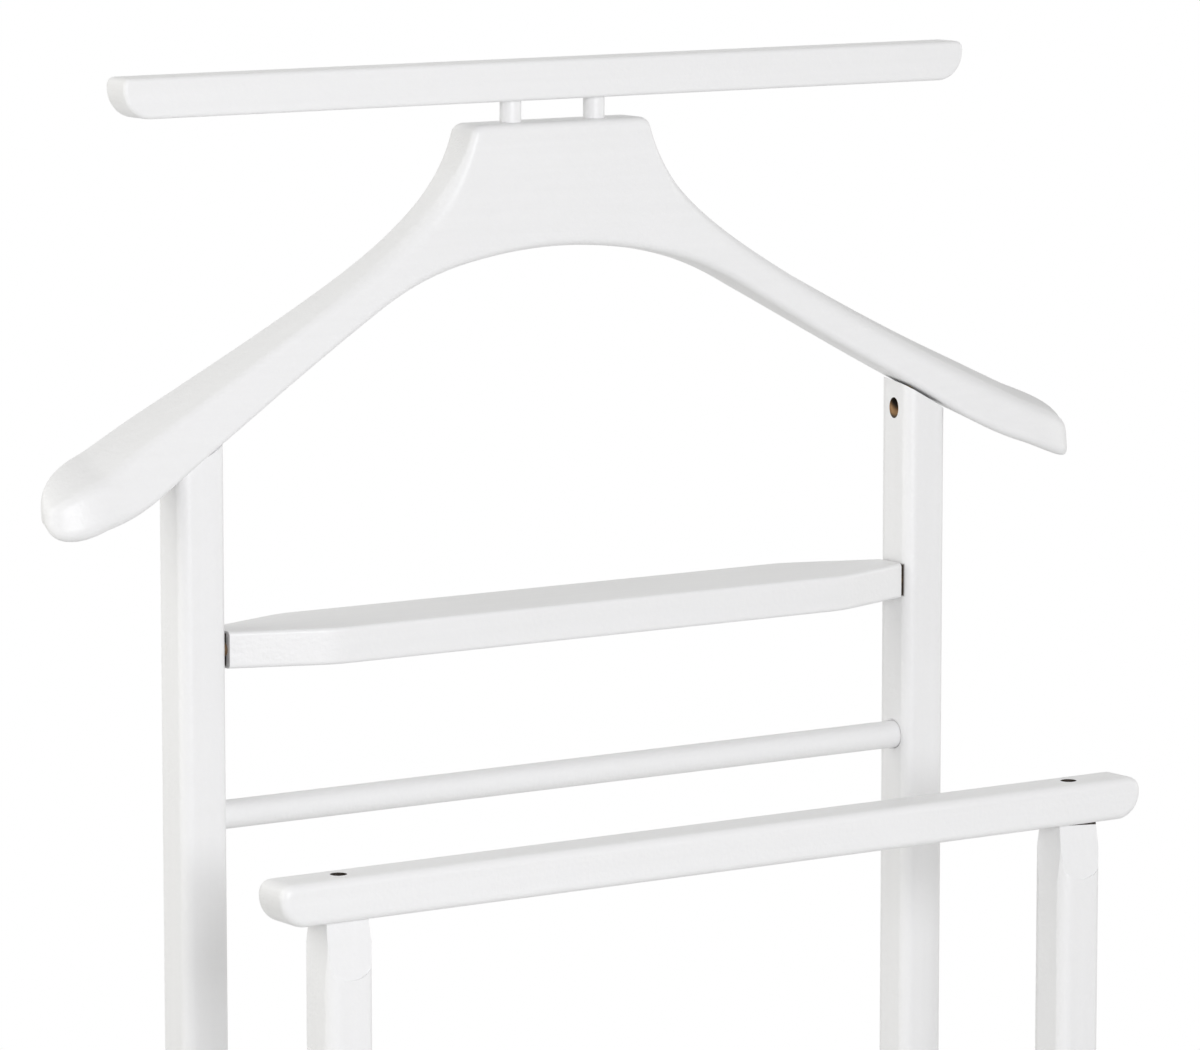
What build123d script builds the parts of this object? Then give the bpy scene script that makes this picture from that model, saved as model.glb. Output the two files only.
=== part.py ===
from build123d import *
import math
import os

# Valet stand in millimetres, +Z up, +X to the right as seen from the front, +Y to the back.
# The origin lies on the floor, midway between the two foot runners and midway along them.

# Overall sizes
STAND_HEIGHT = 1080.0
POST_SPACING = 322.0
POST_ROW_GAP = 98.0
HANGER_WIDTH = 453.0
FOOT_LENGTH = 240.0

# Square posts with rounded upright edges
POST_WIDTH = 18.8
POST_DEPTH = 19.2
POST_EDGE_RADIUS = 4.5
FRONT_POST_FLAT_HEIGHT = 20.5
FRONT_POST_FLAT_CUT = 3.8
FRONT_POST_FLAT_STEP = 0.5
FRONT_POST_FLAT_OVERCUT = 1.0
FRONT_POST_SIDE_CUT = 0.8

# Tie bar carried above the hanger on two dowels
BAR_LENGTH = 371.0
BAR_HEIGHT = 14.8
BAR_DEPTH = 14.0
BAR_END_RADIUS = 11.0
BAR_TOP_END_RADIUS = 3.0
BAR_EDGE_RADIUS = 1.6
BAR_LIFT = 8.0
BAR_DOWEL_DIAMETER = 8.0
BAR_DOWEL_SPACING = 37.0
BAR_DOWEL_IN_BAR = 9.0
BAR_DOWEL_IN_HANGER = 20.0

# Hanger, front view: drops are measured down from its top edge
HANGER_BLOCK_FLAT = 70.0
HANGER_BLOCK_CORNER = 5.0
HANGER_NECK_ANGLE = 16.5
HANGER_NECK_PULL = 38.0
HANGER_ARM_PULL_X = 105.0
HANGER_ARM_PULL_DROP = 65.7
HANGER_ARCH_DROP = 47.8
HANGER_ARCH_RADIUS = 172.0
HANGER_ARM_ANGLE = 28.0
HANGER_TIP_HEIGHT = 25.0
HANGER_TIP_LIFT_LENGTH = 24.0
HANGER_TIP_SAG = 3.5
HANGER_STRAIGHT_SPANS = 4
HANGER_RUN_OUT = 6.0

# Hanger, plan view: set back in the middle, reaching forward at the tips
HANGER_BLOCK_SETBACK = 9.0
HANGER_BLOCK_DEPTH = 17.0
HANGER_TIP_REACH = 8.0
HANGER_TIP_DEPTH = 23.0
HANGER_TIP_FRONT_RADIUS = 12.5
HANGER_TIP_BACK_RADIUS = 8.0
HANGER_EDGE_RADIUS = 4.2
HANGER_SEAT_GAP = 0.5

# Hanger, side slant: how far its arms fall from the back profile to the front one
HANGER_PROFILE_REACH = 34.0
HANGER_ARM_SLANT = 7.0
HANGER_TIP_SLANT = 7.0
HANGER_UNDER_SLANT = 3.2

# Hanger screws, driven up through angled pockets in the rear posts
POCKET_ANGLE = 44.0
POCKET_DROP = 11.0
POCKET_SET_FORWARD = 0.0
POCKET_DEPTH = 5.2
HANGER_SCREW_LENGTH = 19.0
HANGER_SCREW_SHANK = 3.2
HANGER_SCREW_HEAD = 5.0

# Tray between the rear posts
TRAY_DROP = 198.8
TRAY_THICKNESS = 13.5
TRAY_DEPTH = 42.0
TRAY_END_DEPTH = 15.0
TRAY_END_GAP = 1.5
TRAY_TAPER_LENGTH = 37.0
TRAY_TAPER_RADIUS = 30.0
TRAY_EDGE_RADIUS = 1.5
TRAY_PIN_DIAMETER = 5.0
TRAY_PIN_SPACING = 7.0
TRAY_PIN_IN_POST = 9.0
TRAY_PIN_IN_TRAY = 10.0
DOWEL_CHAMFER = 0.6

# Round rods
ROD_DIAMETER = 10.5
ROD_DROP = 266.5
ROD_SOCKET_DEPTH = 9.0
ROD_SOCKET_CHAMFER = 0.7
ROD_END_PLAY = 0.5
SHOE_ROD_FRONT_HEIGHT = 95.0
SHOE_ROD_REAR_HEIGHT = 135.0
SHOE_ROD_SOCKET_DEPTH = 5.0

# Front rail on top of the front posts
RAIL_OVERHANG = 18.6
RAIL_HEIGHT = 15.6
RAIL_DEPTH = 18.5
RAIL_DROP = 271.0
RAIL_END_RADIUS = 10.0
RAIL_TOP_END_RADIUS = 4.8
RAIL_EDGE_RADIUS = 3.0
RAIL_BORE_DEPTH = 6.5

# Foot runners and their glides
FOOT_WIDTH = 26.0
FOOT_HEIGHT = 28.0
FOOT_END_RADIUS = 16.0
FOOT_LOW_END_RADIUS = 5.0
FOOT_EDGE_RADIUS = 4.0
FOOT_BORE_DEPTH = 9.0
GLIDE_DIAMETER = 18.0
GLIDE_THICKNESS = 3.0
GLIDE_CHAMFER = 0.8
GLIDE_STEM_DIAMETER = 6.0
GLIDE_STEM_LENGTH = 11.0
GLIDE_INSET = 17.0

# Wood screws
SCREW_SHANK = 4.0
SCREW_HEAD = 7.0
RAIL_SCREW_LENGTH = 40.0
RAIL_SCREW_HEAD = 5.2
FOOT_SCREW_LENGTH = 48.0
SHOE_SCREW_LENGTH = 34.0
SHOE_SCREW_SINK = 0.6
SCREW_RIM_HEIGHT = 0.4
SCREW_TIP_LENGTH = 4.0
SCREW_RECESS_WIDTH = 0.9
SCREW_RECESS_DEPTH = 1.6
SCREW_RECESS_SPAN = 0.55
SCREW_TIP_RADIUS = 0.3

# Clearances
TURNING_FIT = 0.08
PIN_FIT = 0.04
SCREW_FIT = 0.05
SHANK_CLEARANCE = 0.2
HEAD_CLEARANCE = 0.25
SEAT_FIT = 0.05
BLIND_PLAY = 0.3
BORE_REACH = 1.5

# Positions that follow from the sizes above
POST_X = POST_SPACING / 2
POST_INNER_X = POST_X - POST_WIDTH / 2
POST_OUTER_X = POST_X + POST_WIDTH / 2
REAR_Y = POST_ROW_GAP / 2
FRONT_Y = -POST_ROW_GAP / 2
FOOT_TOP_Z = GLIDE_THICKNESS + FOOT_HEIGHT
BAR_BOTTOM_Z = STAND_HEIGHT - BAR_HEIGHT
HANGER_TOP_Z = BAR_BOTTOM_Z - BAR_LIFT
ARCH_TOP_Z = HANGER_TOP_Z - HANGER_ARCH_DROP
TIP_X = HANGER_WIDTH / 2
TRAY_MID_Z = STAND_HEIGHT - TRAY_DROP - TRAY_THICKNESS / 2
TRAY_END_X = POST_INNER_X - TRAY_END_GAP
ROD_Z = STAND_HEIGHT - ROD_DROP
RAIL_LENGTH = 2 * (POST_OUTER_X + RAIL_OVERHANG)
RAIL_TOP_Z = STAND_HEIGHT - RAIL_DROP
RAIL_BOTTOM_Z = RAIL_TOP_Z - RAIL_HEIGHT
BAR_Y = REAR_Y + HANGER_BLOCK_SETBACK
FROM_BOTTOM = (Align.CENTER, Align.CENTER, Align.MIN)
FROM_TOP = (Align.CENTER, Align.CENTER, Align.MAX)
ARCH_END_X = HANGER_ARCH_RADIUS * math.sin(math.radians(HANGER_ARM_ANGLE))
ARCH_END_Z = ARCH_TOP_Z - HANGER_ARCH_RADIUS * (1 - math.cos(math.radians(HANGER_ARM_ANGLE)))


def underside_z(x):
    """Height of the hanger's straight underside at a distance x from the middle."""
    return ARCH_END_Z - (x - ARCH_END_X) * math.tan(math.radians(HANGER_ARM_ANGLE))


def rod_between(start, end, diameter):
    """A round bar between two points."""
    axis = Vector(*end) - Vector(*start)
    disc = Plane(origin=start, z_dir=axis) * Circle(diameter / 2)
    return extrude(disc, axis.length)


def mirrored(shape):
    """The same shape on the other side of the stand."""
    return mirror(shape, about=Plane.YZ)


def upright(x, y, bottom, top):
    """A square post with rounded upright edges."""
    section = Pos(x, y, bottom) * RectangleRounded(POST_WIDTH, POST_DEPTH, POST_EDGE_RADIUS)
    return extrude(section, top - bottom)


def wood_screw(length, shank, head):
    """A countersunk screw along +Z with the flat of its head at the origin, pointing up."""
    core = shank / 2
    rim = head / 2
    neck = SCREW_RIM_HEIGHT + rim - core
    outline = Polyline(
        (0, 0),
        (rim, 0),
        (rim, SCREW_RIM_HEIGHT),
        (core, neck),
        (core, length - SCREW_TIP_LENGTH),
        (SCREW_TIP_RADIUS, length),
        (0, length),
        close=True,
    )
    body = revolve(make_face(Plane.XZ * outline), Axis.Z)
    slot = Box(head * SCREW_RECESS_SPAN, SCREW_RECESS_WIDTH, SCREW_RECESS_DEPTH * 2)
    return body - slot - Rot(0, 0, 90) * slot


def head_offset(depth):
    """How far in the flat of the head lies when its cone bears on a seat of the given bore depth."""
    return depth - SCREW_RIM_HEIGHT + HEAD_CLEARANCE - SEAT_FIT


def sunk(place, depth):
    """The place of a screw's head when its bore has the given depth."""
    return place * Pos(0, 0, head_offset(depth))


def shank_hole(length, shank):
    """The hole that a screw's shank fills, along +Z from the head, a little longer than the screw."""
    return Cylinder(shank / 2 + SCREW_FIT, length + BORE_REACH, align=FROM_BOTTOM)


def clearance_hole(length, shank):
    """The wider hole that a shank passes through, along +Z from the head."""
    return Cylinder(shank / 2 + SHANK_CLEARANCE, length, align=FROM_BOTTOM)


def head_seat(shank, head, depth):
    """A bore of the given depth for a head, open at the start and ending in the cone the head bears on."""
    rim = head / 2 + HEAD_CLEARANCE
    core = shank / 2 + SHANK_CLEARANCE
    end = depth + rim - core
    outline = Polyline(
        (0, -BORE_REACH),
        (rim, -BORE_REACH),
        (rim, depth),
        (core, end),
        (0, end),
        close=True,
    )
    return revolve(make_face(Plane.XZ * outline), Axis.Z)


def dowel(start, end, diameter):
    """A plain wooden dowel with eased ends."""
    peg = rod_between(start, end, diameter)
    return chamfer(peg.edges().filter_by(GeomType.CIRCLE), DOWEL_CHAMFER)


def dowel_hole(start, end, diameter):
    """The blind hole for a dowel, with the press fit's clearance and a little play at both ends."""
    axis = (Vector(*end) - Vector(*start)).normalized() * BLIND_PLAY
    return rod_between(Vector(*start) - axis, Vector(*end) + axis, diameter + 2 * PIN_FIT)


def boat_bar(size, end_radius, top_end_radius, edge_radius):
    """A bar along X with its top at the origin: the lower end corners sweep up in a round, edges eased."""
    bar = Box(*size, align=FROM_TOP)
    bar = fillet(bar.edges().filter_by(Axis.Y).group_by(Axis.Z)[0], end_radius)
    bar = fillet(bar.edges().filter_by(Axis.Y).group_by(Axis.Z)[-1], top_end_radius)
    return fillet(bar.edges().filter_by(Axis.Y, reverse=True), edge_radius)


# Where each fastener starts, with +Z along its shank, on the right-hand side


def pocket_place():
    """The angled pocket: starts on the rear post's inner face and climbs outward into the hanger."""
    angle = math.radians(POCKET_ANGLE)
    start = (POST_INNER_X, REAR_Y - POCKET_SET_FORWARD, underside_z(POST_INNER_X) - POCKET_DROP)
    return Plane(origin=start, x_dir=(0, 1, 0), z_dir=(math.cos(angle), 0, math.sin(angle))).location


def rail_screw_place():
    """On the front rail's top, pointing down."""
    return Pos(POST_X, FRONT_Y, RAIL_TOP_Z) * Rot(180, 0, 0)


def foot_screw_place(y):
    """On the runner's underside, pointing up."""
    return Pos(POST_X, y, GLIDE_THICKNESS)


def shoe_screw_place(y, z):
    """On a post's outer face, pointing inward."""
    return Pos(POST_OUTER_X, y, z) * Rot(0, -90, 0)


def tray_pin_ends(row):
    """Both ends of one tray pin; row is -1 for the front pin and +1 for the rear one."""
    y = REAR_Y + row * TRAY_PIN_SPACING / 2
    return (TRAY_END_X - TRAY_PIN_IN_TRAY, y, TRAY_MID_Z), (POST_INNER_X + TRAY_PIN_IN_POST, y, TRAY_MID_Z)


def bar_dowel_ends():
    """Both ends of one of the dowels between the hanger and the tie bar."""
    x = BAR_DOWEL_SPACING / 2
    return (x, BAR_Y, HANGER_TOP_Z - BAR_DOWEL_IN_HANGER), (x, BAR_Y, BAR_BOTTOM_Z + BAR_DOWEL_IN_BAR)


# The hanger


def hanger_profile(fall):
    """The hanger's outline in one upright plane; fall is -1 for the back plane and +1 for the front one."""
    flat = HANGER_BLOCK_FLAT / 2
    corner = JernArc((flat, HANGER_TOP_Z), (1, 0), HANGER_BLOCK_CORNER, HANGER_NECK_ANGLE - 90)
    arm_top = Bezier(
        corner @ 1,
        corner @ 1 + corner % 1 * HANGER_NECK_PULL,
        (HANGER_ARM_PULL_X, HANGER_TOP_Z - HANGER_ARM_PULL_DROP - fall * HANGER_ARM_SLANT),
        (TIP_X, underside_z(TIP_X) + HANGER_TIP_HEIGHT - fall * HANGER_TIP_SLANT),
    )
    slope = math.tan(math.radians(HANGER_ARM_ANGLE + fall * HANGER_UNDER_SLANT))
    lift_x = TIP_X - HANGER_TIP_LIFT_LENGTH
    outer_x = TIP_X + HANGER_RUN_OUT
    span = (lift_x - ARCH_END_X) / HANGER_STRAIGHT_SPANS
    stations = [ARCH_END_X + span * k for k in range(HANGER_STRAIGHT_SPANS + 1)]
    right = [(x, ARCH_END_Z - (x - ARCH_END_X) * slope) for x in stations]
    outer_z = right[-1][1] - HANGER_TIP_SAG
    right.append((outer_x, outer_z))
    left = [(-x, z) for x, z in reversed(right)]
    underside = Spline(*left, (0, ARCH_TOP_Z), *right)
    arm_end = Line(arm_top @ 1, arm_top @ 1 + arm_top % 1 * (HANGER_RUN_OUT / (arm_top % 1).X))
    tip = Line(arm_end @ 1, (outer_x, outer_z))
    side = Curve() + [corner, arm_top, arm_end, tip]
    top = Line((-flat, HANGER_TOP_Z), (flat, HANGER_TOP_Z))
    outline = side + mirror(side, about=Plane.YZ) + [top, underside]
    return Plane.XZ.offset(fall * HANGER_PROFILE_REACH - REAR_Y) * make_face(outline)


def hanger_front_prism():
    """The hanger's front view drawn out through its depth, its arms falling towards the front."""
    return loft([hanger_profile(-1), hanger_profile(1)], ruled=True)


def hanger_plan_prism():
    """The hanger's plan: two long arcs that draw apart towards the tips, with round ends."""
    mid_front = REAR_Y + HANGER_BLOCK_SETBACK - HANGER_BLOCK_DEPTH / 2
    mid_back = mid_front + HANGER_BLOCK_DEPTH
    tip_front = REAR_Y - HANGER_TIP_REACH - HANGER_TIP_DEPTH / 2
    tip_back = tip_front + HANGER_TIP_DEPTH
    front = ThreePointArc((-TIP_X, tip_front), (0, mid_front), (TIP_X, tip_front))
    back = ThreePointArc((-TIP_X, tip_back), (0, mid_back), (TIP_X, tip_back))
    right = Line((TIP_X, tip_front), (TIP_X, tip_back))
    left = Line((-TIP_X, tip_front), (-TIP_X, tip_back))
    prism = extrude(make_face(Curve() + [front, right, back, left]), STAND_HEIGHT)
    corners = prism.edges().filter_by(Axis.Z).group_by(Axis.Y)
    prism = fillet(corners[-1], HANGER_TIP_BACK_RADIUS)
    return fillet(prism.edges().filter_by(Axis.Z).group_by(Axis.Y)[0], HANGER_TIP_FRONT_RADIUS)


def long_edges(body):
    """The hanger's outline edges, front and back: those that run more along X or Z than across in Y."""
    edges = body.edges().filter_by(Axis.Z, reverse=True)
    return edges.filter_by(lambda edge: abs((edge % 0.5).Y) < 0.85)


def hanger():
    """The shaped hanger with holes for the tie bar's dowels and for the two pocket screws."""
    body = hanger_front_prism() & hanger_plan_prism()
    body = fillet(long_edges(body), HANGER_EDGE_RADIUS)
    hole = dowel_hole(*bar_dowel_ends(), BAR_DOWEL_DIAMETER)
    hole += sunk(pocket_place(), POCKET_DEPTH) * shank_hole(HANGER_SCREW_LENGTH, HANGER_SCREW_SHANK)
    return body - hole - mirrored(hole)


# The tie bar, tray and rods


def tie_bar():
    """The straight bar above the hanger, standing on two dowels."""
    size = (BAR_LENGTH, BAR_DEPTH, BAR_HEIGHT)
    bar = boat_bar(size, BAR_END_RADIUS, BAR_TOP_END_RADIUS, BAR_EDGE_RADIUS)
    bar = Pos(0, BAR_Y, STAND_HEIGHT) * bar
    hole = dowel_hole(*bar_dowel_ends(), BAR_DOWEL_DIAMETER)
    return bar - hole - mirrored(hole)


def tray():
    """The shallow tray: narrow at the posts, widening to its full depth, with two pin holes in each end."""
    end = TRAY_END_DEPTH / 2
    mid = TRAY_DEPTH / 2
    wide_x = TRAY_END_X - TRAY_TAPER_LENGTH
    quarter = [(wide_x, mid), (TRAY_END_X, end), (TRAY_END_X, -end), (wide_x, -mid)]
    outline = quarter + [(-x, -y) for x, y in quarter]
    face = make_face(Polyline(*outline, close=True))
    board = extrude(Pos(0, REAR_Y, TRAY_MID_Z) * face, TRAY_THICKNESS / 2, both=True)
    bends = board.edges().filter_by(Axis.Z).filter_by_position(Axis.X, -wide_x - 1, wide_x + 1)
    board = fillet(bends, TRAY_TAPER_RADIUS)
    rims = board.edges().filter_by(Axis.Z, reverse=True).filter_by(Axis.Y, reverse=True)
    board = fillet(rims, TRAY_EDGE_RADIUS)
    for row in (-1, 1):
        hole = dowel_hole(*tray_pin_ends(row), TRAY_PIN_DIAMETER)
        board -= hole + mirrored(hole)
    return board


def trouser_rod():
    """The round rod for trousers, loose in a blind socket in each rear post, so that it turns."""
    half = POST_INNER_X + ROD_SOCKET_DEPTH - ROD_END_PLAY
    return dowel((-half, REAR_Y, ROD_Z), (half, REAR_Y, ROD_Z), ROD_DIAMETER)


def shoe_rod(y, z):
    """A round rod between two posts, drawn tight by a screw in each end."""
    half = POST_INNER_X + SHOE_ROD_SOCKET_DEPTH - SEAT_FIT
    rod = dowel((-half, y, z), (half, y, z), ROD_DIAMETER)
    hole = sunk(shoe_screw_place(y, z), SHOE_SCREW_SINK) * shank_hole(SHOE_SCREW_LENGTH, SCREW_SHANK)
    return rod - hole - mirrored(hole)


def front_rail():
    """The rail on the front posts, with a sunk screw over each."""
    size = (RAIL_LENGTH, RAIL_DEPTH, RAIL_HEIGHT)
    rail = boat_bar(size, RAIL_END_RADIUS, RAIL_TOP_END_RADIUS, RAIL_EDGE_RADIUS)
    rail = Pos(0, FRONT_Y, RAIL_TOP_Z) * rail
    hole = head_seat(SCREW_SHANK, RAIL_SCREW_HEAD, RAIL_BORE_DEPTH)
    hole += clearance_hole(RAIL_HEIGHT + BORE_REACH, SCREW_SHANK)
    hole = rail_screw_place() * hole
    return rail - hole - mirrored(hole)


# Posts and feet, on the right-hand side


def rod_socket(y, z, depth, fit):
    """A blind socket in a post's inner face, with an eased mouth."""
    radius = ROD_DIAMETER / 2 + fit
    mouth = radius + ROD_SOCKET_CHAMFER
    outline = Polyline(
        (0, -ROD_SOCKET_CHAMFER),
        (mouth + ROD_SOCKET_CHAMFER, -ROD_SOCKET_CHAMFER),
        (radius, ROD_SOCKET_CHAMFER),
        (radius, depth),
        (0, depth),
        close=True,
    )
    socket = revolve(make_face(Plane.XZ * outline), Axis.Z)
    return Pos(POST_INNER_X, y, z) * Rot(0, 90, 0) * socket


def shoe_rod_cuts(y, z):
    """What one shoe rod needs in a post: its socket and the sunk screw hole from outside."""
    seat = head_seat(SCREW_SHANK, SCREW_HEAD, SHOE_SCREW_SINK)
    through = clearance_hole(POST_WIDTH, SCREW_SHANK)
    return rod_socket(y, z, SHOE_ROD_SOCKET_DEPTH, PIN_FIT) + shoe_screw_place(y, z) * (seat + through)


def foot_screw_cut(y):
    """The hole that the foot screw bites into, in the lower end of a post."""
    return sunk(foot_screw_place(y), FOOT_BORE_DEPTH) * shank_hole(FOOT_SCREW_LENGTH, SCREW_SHANK)


def post_top_cut():
    """What a rear post loses at its top: all above the arm's underside, and the seating gap."""
    lowered = Pos(0, 0, -HANGER_SEAT_GAP) * hanger_front_prism()
    above = Pos(POST_X, REAR_Y, underside_z(POST_OUTER_X) + HANGER_TIP_HEIGHT / 2)
    return lowered + above * Box(POST_WIDTH * 2, POST_DEPTH * 2, STAND_HEIGHT, align=FROM_BOTTOM)


def rear_post():
    """A long post: sloped top under the hanger, pocket, pin holes, rod socket and shoe-rod socket."""
    post = upright(POST_X, REAR_Y, FOOT_TOP_Z, HANGER_TOP_Z) - post_top_cut()
    pocket = head_seat(HANGER_SCREW_SHANK, HANGER_SCREW_HEAD, POCKET_DEPTH)
    pocket += Cylinder(HANGER_SCREW_HEAD / 2 + HEAD_CLEARANCE, POCKET_DEPTH, align=FROM_TOP)
    pocket += clearance_hole(HANGER_SCREW_LENGTH, HANGER_SCREW_SHANK)
    post -= pocket_place() * pocket
    for row in (-1, 1):
        post -= dowel_hole(*tray_pin_ends(row), TRAY_PIN_DIAMETER)
    post -= rod_socket(REAR_Y, ROD_Z, ROD_SOCKET_DEPTH, TURNING_FIT)
    post -= shoe_rod_cuts(REAR_Y, SHOE_ROD_REAR_HEIGHT)
    return post - foot_screw_cut(REAR_Y)


def front_flat():
    """What a cutter takes off the front of a front post's top: a slanting flat with a round lower end."""
    low = RAIL_BOTTOM_Z - FRONT_POST_FLAT_HEIGHT
    face = FRONT_Y - POST_DEPTH / 2
    slant = Polyline(
        (face, low),
        (face + FRONT_POST_FLAT_STEP, low),
        (face + FRONT_POST_FLAT_CUT, RAIL_BOTTOM_Z),
        (face, RAIL_BOTTOM_Z),
        close=True,
    )
    wedge = extrude(Plane.YZ.offset(POST_X) * make_face(slant), POST_WIDTH, both=True)
    radius = POST_WIDTH / 2 + FRONT_POST_FLAT_OVERCUT
    tongue = Rot(90, 0, 0) * Cylinder(radius, POST_DEPTH * 2)
    tongue += Box(radius * 2, POST_DEPTH * 2, FRONT_POST_FLAT_HEIGHT, align=FROM_BOTTOM)
    return wedge & (Pos(POST_X, FRONT_Y, low + radius) * tongue)


def front_side_taper():
    """What the slight taper takes off the outer side of a front post's top."""
    face = POST_X + POST_WIDTH / 2
    slant = Polyline(
        (face, RAIL_BOTTOM_Z - FRONT_POST_FLAT_HEIGHT),
        (face, RAIL_BOTTOM_Z),
        (face - FRONT_POST_SIDE_CUT, RAIL_BOTTOM_Z),
        close=True,
    )
    return extrude(Plane.XZ.offset(-FRONT_Y) * make_face(slant), POST_DEPTH, both=True)


def front_post():
    """A short post, thinned at its top by a flat front and back and by a slight taper at its sides."""
    post = upright(POST_X, FRONT_Y, FOOT_TOP_Z, RAIL_BOTTOM_Z)
    flat = front_flat()
    taper = front_side_taper()
    post -= flat
    post -= mirror(flat, about=Plane.XZ.offset(-FRONT_Y))
    post -= taper
    post -= mirror(taper, about=Plane.YZ.offset(POST_X))
    post -= sunk(rail_screw_place(), RAIL_BORE_DEPTH) * shank_hole(RAIL_SCREW_LENGTH, SCREW_SHANK)
    post -= shoe_rod_cuts(FRONT_Y, SHOE_ROD_FRONT_HEIGHT)
    return post - foot_screw_cut(FRONT_Y)


def glide_y():
    """Distance of each glide from the middle of its runner."""
    return FOOT_LENGTH / 2 - GLIDE_INSET


def glide(y):
    """A push-in plastic glide: a disc on the floor with a stem up into the runner."""
    disc = Cylinder(GLIDE_DIAMETER / 2, GLIDE_THICKNESS, align=FROM_BOTTOM)
    disc = chamfer(disc.edges().group_by(Axis.Z)[0], GLIDE_CHAMFER)
    stem = Cylinder(GLIDE_STEM_DIAMETER / 2, GLIDE_THICKNESS + GLIDE_STEM_LENGTH, align=FROM_BOTTOM)
    return Pos(POST_X, y, 0) * (disc + stem)


def foot():
    """A runner on the floor that carries one front and one rear post."""
    size = (FOOT_LENGTH, FOOT_WIDTH, FOOT_HEIGHT)
    runner = boat_bar(size, FOOT_END_RADIUS, FOOT_LOW_END_RADIUS, FOOT_EDGE_RADIUS)
    runner = Pos(POST_X, 0, GLIDE_THICKNESS) * Rot(180, 0, 90) * runner
    hole = head_seat(SCREW_SHANK, SCREW_HEAD, FOOT_BORE_DEPTH)
    hole += clearance_hole(FOOT_HEIGHT + BORE_REACH, SCREW_SHANK)
    for y in (FRONT_Y, REAR_Y):
        runner -= foot_screw_place(y) * hole
    stem = Cylinder(GLIDE_STEM_DIAMETER / 2 + PIN_FIT, GLIDE_STEM_LENGTH + BLIND_PLAY, align=FROM_BOTTOM)
    for y in (-glide_y(), glide_y()):
        runner -= Pos(POST_X, y, GLIDE_THICKNESS) * stem
    return runner


# Fasteners


def both_sides(*shapes):
    """Right-hand pieces and their mirror images, as one group of separate solids."""
    solids = [piece.solid() for piece in shapes]
    return Compound(solids + [mirrored(piece).solid() for piece in shapes])


def hanger_screw():
    screw = wood_screw(HANGER_SCREW_LENGTH, HANGER_SCREW_SHANK, HANGER_SCREW_HEAD)
    return sunk(pocket_place(), POCKET_DEPTH) * screw


def rail_screw():
    screw = wood_screw(RAIL_SCREW_LENGTH, SCREW_SHANK, RAIL_SCREW_HEAD)
    return sunk(rail_screw_place(), RAIL_BORE_DEPTH) * screw


def foot_screw(y):
    screw = wood_screw(FOOT_SCREW_LENGTH, SCREW_SHANK, SCREW_HEAD)
    return sunk(foot_screw_place(y), FOOT_BORE_DEPTH) * screw


def shoe_screw(y, z):
    screw = wood_screw(SHOE_SCREW_LENGTH, SCREW_SHANK, SCREW_HEAD)
    return sunk(shoe_screw_place(y, z), SHOE_SCREW_SINK) * screw


def tray_pins():
    """The two pins at one end of the tray, as a group."""
    return Compound([dowel(*tray_pin_ends(row), TRAY_PIN_DIAMETER).solid() for row in (-1, 1)])


# Every node, written as one file each

bar_dowel = dowel(*bar_dowel_ends(), BAR_DOWEL_DIAMETER)
right_pins = tray_pins()
right_rear_post = rear_post()
right_front_post = front_post()
right_foot = foot()
front_glide = glide(-glide_y())
rear_glide = glide(glide_y())

nodes = {
    "hanger": hanger(),
    "hanger_screws": both_sides(hanger_screw()),
    "tie_bar": tie_bar(),
    "tie_bar_dowel_left": mirrored(bar_dowel),
    "tie_bar_dowel_right": bar_dowel,
    "rear_post_left": mirrored(right_rear_post),
    "rear_post_right": right_rear_post,
    "tray": tray(),
    "tray_pins_left": mirrored(right_pins),
    "tray_pins_right": right_pins,
    "trouser_rod": trouser_rod(),
    "front_rail": front_rail(),
    "front_rail_screws": both_sides(rail_screw()),
    "front_post_left": mirrored(right_front_post),
    "front_post_right": right_front_post,
    "shoe_rod_front": shoe_rod(FRONT_Y, SHOE_ROD_FRONT_HEIGHT),
    "shoe_rod_rear": shoe_rod(REAR_Y, SHOE_ROD_REAR_HEIGHT),
    "shoe_rod_screws": both_sides(
        shoe_screw(FRONT_Y, SHOE_ROD_FRONT_HEIGHT),
        shoe_screw(REAR_Y, SHOE_ROD_REAR_HEIGHT),
    ),
    "foot_left": mirrored(right_foot),
    "foot_right": right_foot,
    "foot_screws": both_sides(foot_screw(FRONT_Y), foot_screw(REAR_Y)),
    "glide_front_left": mirrored(front_glide),
    "glide_front_right": front_glide,
    "glide_rear_left": mirrored(rear_glide),
    "glide_rear_right": rear_glide,
}

os.makedirs("parts", exist_ok=True)
for name, shape in nodes.items():
    export_step(shape, f"parts/{name}.step")
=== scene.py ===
# %% [markdown]
# # A white valet stand
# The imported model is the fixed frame: every wooden piece, screw and glide is already where it belongs, in
# metres, with the floor at z = 0. This lesson adds what a drawing leaves out: a studio, the paint and the
# bare wood, the softly shaped hanger and screws with real threads. The box of the drawing is kept here, so
# that the finished look can be compared with it at the end.

# %% Load the frame
import math

import bpy
import numpy as np
from mathutils import Matrix, Vector


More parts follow.
